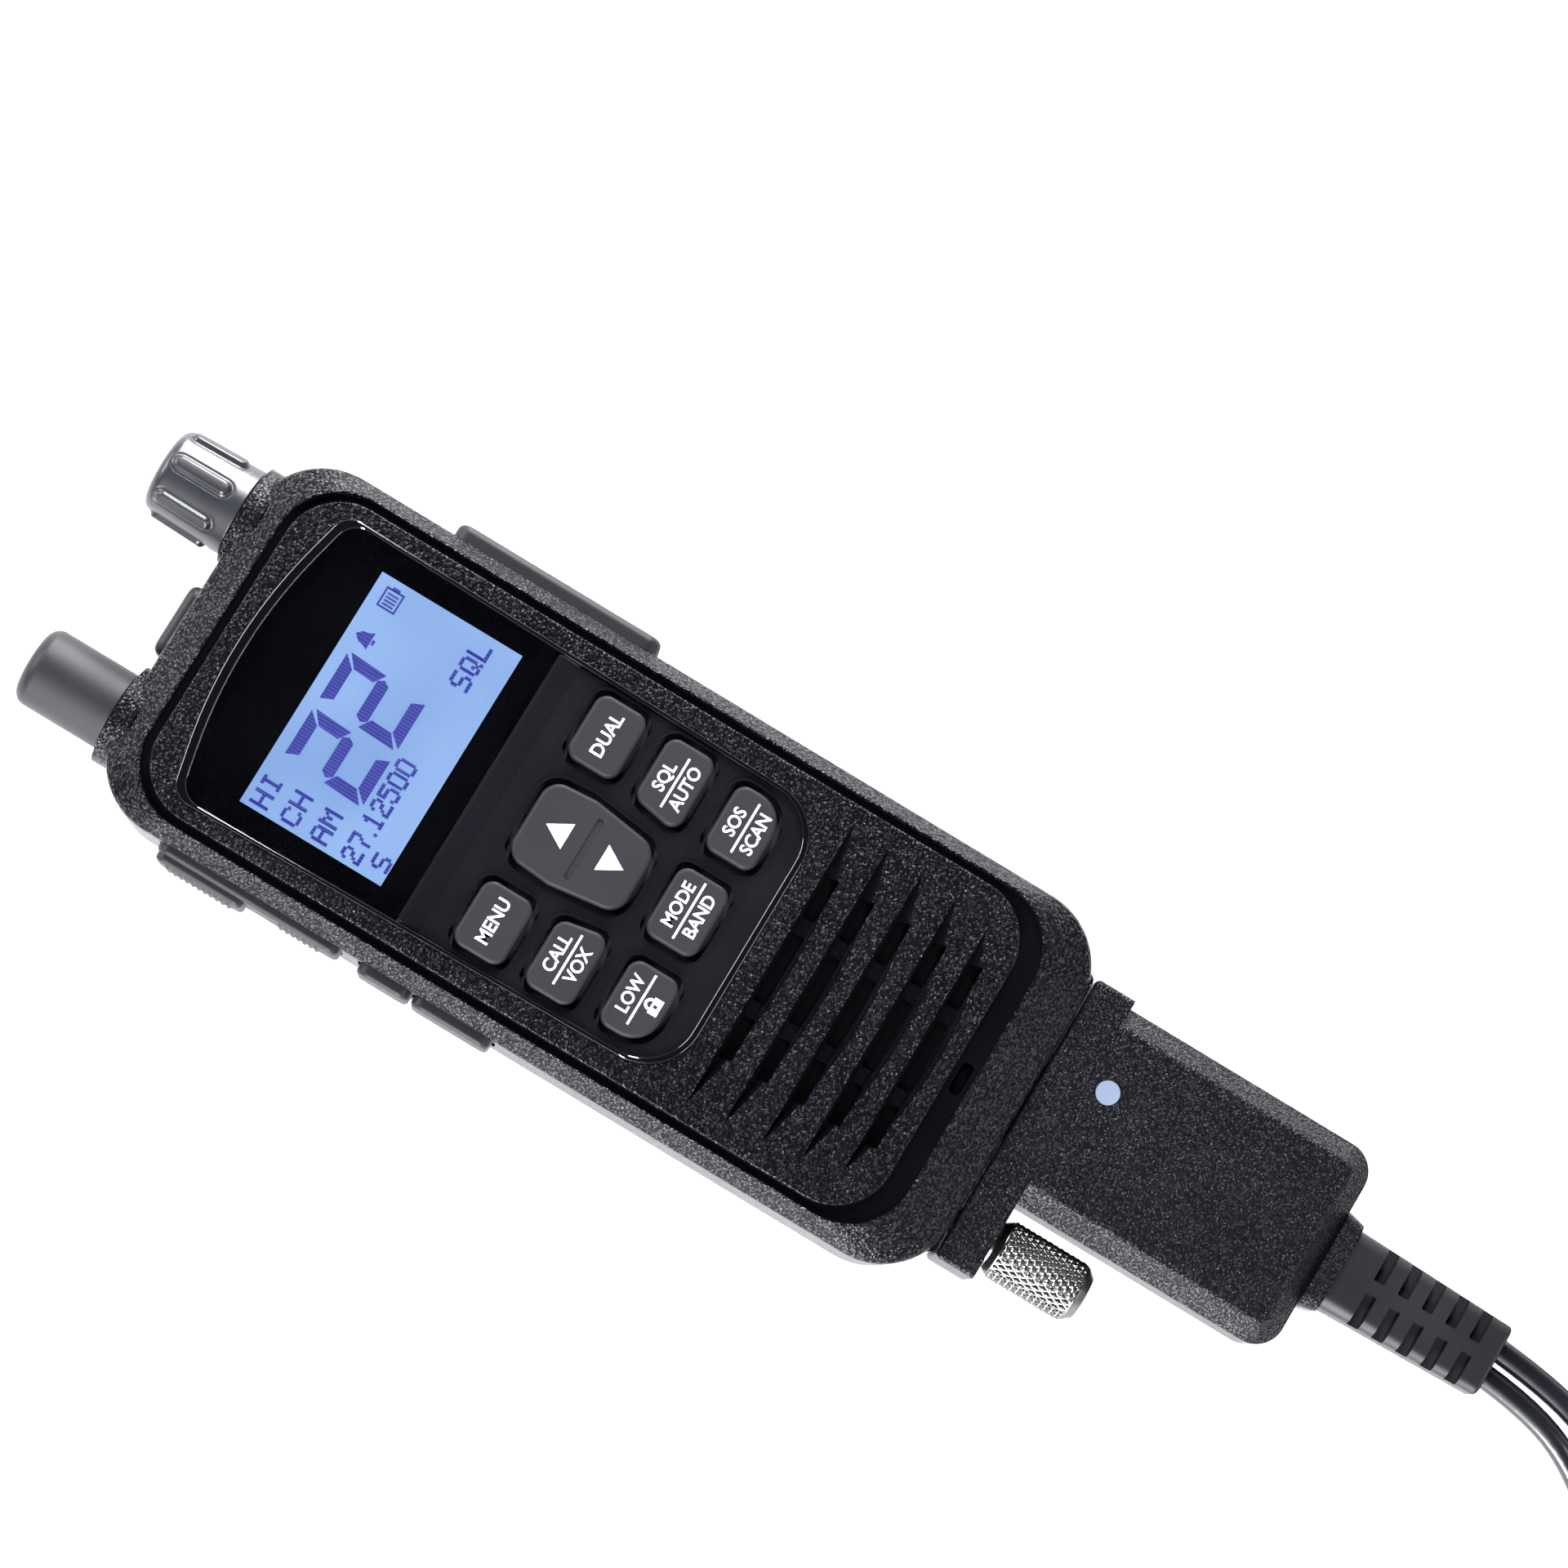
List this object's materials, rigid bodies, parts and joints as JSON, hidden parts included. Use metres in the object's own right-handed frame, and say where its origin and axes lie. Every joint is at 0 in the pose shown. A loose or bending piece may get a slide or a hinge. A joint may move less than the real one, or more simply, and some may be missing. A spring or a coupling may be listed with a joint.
{
  "type": "handheld two-way radio",
  "caption": "Handheld two-way radio with keypad, backlit display, push-to-talk bar, battery and a plugged-in vehicle power and aerial adapter with two cords.",
  "frame": {"origin": "centre of the bounding box without the cords, on the flat back of the battery that the radio lies on", "axes": "+Y towards the knobs and aerial, +Z out of the face, +X to the right seen from the front"},
  "size_m": [0.114, 0.3635, 0.0377],
  "materials": {
    "case_plastic": "fine leather-grain moulded black plastic",
    "gloss_plastic": "high-gloss black",
    "seal_rubber": "soft black",
    "window_glass": "polished black acrylic with a clear opening",
    "panel_plastic": "fine matte black",
    "lcd": "blue backlit liquid crystal display",
    "circuit_board": "green solder mask",
    "tin_plate": "tin plated steel",
    "cast_alloy": "die-cast, as cast",
    "speaker_basket": "dark painted steel with a paper cone",
    "dust_cloth": "woven black dust cloth",
    "switch_plastic": "black moulded plastic",
    "brass_metal": "turned brass, gold flashed contacts",
    "screw_steel": "zinc plated",
    "knob_plastic": "satin black with a fine grain",
    "nickel": "nickel plated",
    "soft_rubber": "soft matte black",
    "cell_wrap": "blue shrink wrap",
    "adapter_plastic": "fine grained black plastic",
    "led_plastic": "frosted grey-blue light pipe",
    "relief_rubber": "moulded black",
    "cord_jacket": "glossy black PVC jacket",
    "plug_plastic": "semi-gloss black",
    "key_rubber": "charcoal soft-touch silicone"
  },
  "bodies": {
    "radio": {"front_shell": "case_plastic", "trim_ring": "gloss_plastic", "bezel_ring": "gloss_plastic", "display_window": "window_glass", "keypad_panel": "panel_plastic", "lcd_module": "lcd", "keypad_board": "circuit_board", "main_board": "circuit_board", "shield_can": "tin_plate", "speaker": "speaker_basket", "speaker_cloth": "dust_cloth", "microphone": "tin_plate", "rear_shell": "case_plastic", "heat_sink": "cast_alloy", "case_gasket": "seal_rubber", "case_screws": "screw_steel", "volume_control": "tin_plate", "antenna_connector": "nickel", "side_switches": "switch_plastic", "jack_sockets": "switch_plastic", "base_connector": "switch_plastic", "threaded_insert": "brass_metal"},
    "key_function": {"key_function": "key_rubber"},
    "key_watch": {"key_watch": "key_rubber"},
    "key_voice": {"key_voice": "key_rubber"},
    "key_squelch": {"key_squelch": "key_rubber"},
    "key_lock": {"key_lock": "key_rubber"},
    "key_alert": {"key_alert": "key_rubber"},
    "key_band": {"key_band": "key_rubber"},
    "key_up_down": {"key_up_down": "key_rubber"},
    "top_button": {"top_button": "soft_rubber"},
    "ptt_button": {"ptt_button": "soft_rubber"},
    "side_key_upper": {"side_key_upper": "soft_rubber"},
    "side_key_lower": {"side_key_lower": "soft_rubber"},
    "volume_knob": {"volume_knob": "knob_plastic", "knob_shaft": "screw_steel"},
    "antenna_cap": {"antenna_cap": "soft_rubber"},
    "jack_cover": {"jack_cover": "soft_rubber"},
    "battery": {"battery_case": "case_plastic", "battery_lid": "case_plastic", "battery_contacts": "brass_metal", "battery_cells": "cell_wrap"},
    "battery_latch": {"battery_latch": "switch_plastic"},
    "adapter": {"adapter_front_shell": "adapter_plastic", "adapter_rear_shell": "adapter_plastic", "adapter_board": "circuit_board", "adapter_plug": "switch_plastic", "led_lens": "led_plastic", "adapter_screws": "screw_steel", "cable_collar": "adapter_plastic", "strain_relief": "relief_rubber", "power_cord": "cord_jacket", "power_cord_coil": "cord_jacket", "lighter_plug_body": "plug_plastic", "lighter_plug_springs": "nickel", "aerial_cord": "cord_jacket", "aerial_cord_coil": "cord_jacket", "aerial_socket": "nickel"},
    "thumbscrew": {"thumbscrew": "nickel"},
    "lighter_plug_tip": {"lighter_plug_tip": "nickel"}
  },
  "joints": [
    {"name": "key_function_press", "type": "slide", "parent": "radio", "child": "key_function", "axis": [0, 0, -1], "range_m": [0, 0.0006], "stiffness_N_per_m": 900, "springref_m": -0.0006},
    {"name": "key_watch_press", "type": "slide", "parent": "radio", "child": "key_watch", "axis": [0, 0, -1], "range_m": [0, 0.0006], "stiffness_N_per_m": 900, "springref_m": -0.0006},
    {"name": "key_voice_press", "type": "slide", "parent": "radio", "child": "key_voice", "axis": [0, 0, -1], "range_m": [0, 0.0006], "stiffness_N_per_m": 900, "springref_m": -0.0006},
    {"name": "key_squelch_press", "type": "slide", "parent": "radio", "child": "key_squelch", "axis": [0, 0, -1], "range_m": [0, 0.0006], "stiffness_N_per_m": 900, "springref_m": -0.0006},
    {"name": "key_lock_press", "type": "slide", "parent": "radio", "child": "key_lock", "axis": [0, 0, -1], "range_m": [0, 0.0006], "stiffness_N_per_m": 900, "springref_m": -0.0006},
    {"name": "key_alert_press", "type": "slide", "parent": "radio", "child": "key_alert", "axis": [0, 0, -1], "range_m": [0, 0.0006], "stiffness_N_per_m": 900, "springref_m": -0.0006},
    {"name": "key_band_press", "type": "slide", "parent": "radio", "child": "key_band", "axis": [0, 0, -1], "range_m": [0, 0.0006], "stiffness_N_per_m": 900, "springref_m": -0.0006},
    {"name": "up_down_rock", "type": "hinge", "parent": "radio", "child": "key_up_down", "pos_m": [0, 0.03465, 0.0342], "axis": [1, 0, 0], "range_deg": [-3, 3], "stiffness_Nm_per_rad": 0.25},
    {"name": "top_button_press", "type": "slide", "parent": "radio", "child": "top_button", "axis": [0, -1, 0], "range_m": [0, 0.001], "stiffness_N_per_m": 800, "springref_m": -0.0008},
    {"name": "ptt_button_press", "type": "slide", "parent": "radio", "child": "ptt_button", "axis": [1, 0, 0], "range_m": [0, 0.0012], "stiffness_N_per_m": 1000, "springref_m": -0.0006},
    {"name": "side_key_upper_press", "type": "slide", "parent": "radio", "child": "side_key_upper", "axis": [1, 0, 0], "range_m": [0, 0.0008], "stiffness_N_per_m": 1000, "springref_m": -0.0006},
    {"name": "side_key_lower_press", "type": "slide", "parent": "radio", "child": "side_key_lower", "axis": [1, 0, 0], "range_m": [0, 0.0008], "stiffness_N_per_m": 1000, "springref_m": -0.0006},
    {"name": "volume_turn", "type": "hinge", "parent": "radio", "child": "volume_knob", "pos_m": [0.0173, 0.10255, 0.027], "axis": [0, 1, 0], "range_deg": [0, 280]},
    {"name": "antenna_cap_pull", "type": "slide", "parent": "radio", "child": "antenna_cap", "axis": [0, 1, 0], "range_m": [0, 0.012]},
    {"name": "jack_cover_open", "type": "hinge", "parent": "radio", "child": "jack_cover", "pos_m": [0.0313, 0.07615, 0.0274], "axis": [0, 0, 1], "range_deg": [0, 95]},
    {"name": "battery_slide", "type": "slide", "parent": "radio", "child": "battery", "axis": [0, -1, 0], "range_m": [0, 0.012]},
    {"name": "battery_latch_slide", "type": "slide", "parent": "radio", "child": "battery_latch", "axis": [0, 1, 0], "range_m": [0, 0.0025], "stiffness_N_per_m": 600, "springref_m": -0.001},
    {"name": "adapter_unplug", "type": "slide", "parent": "radio", "child": "adapter", "axis": [0, -1, 0], "range_m": [0, 0.012]},
    {"name": "thumbscrew_turn", "type": "hinge", "parent": "adapter", "child": "thumbscrew", "pos_m": [-0.0171, -0.05345, 0.02375], "axis": [0, 1, 0], "continuous": true},
    {"name": "plug_tip_press", "type": "slide", "parent": "adapter", "child": "lighter_plug_tip", "axis": [-0.9496, 0.3134, 0], "range_m": [0, 0.003], "stiffness_N_per_m": 700, "springref_m": -0.002}
  ]
}
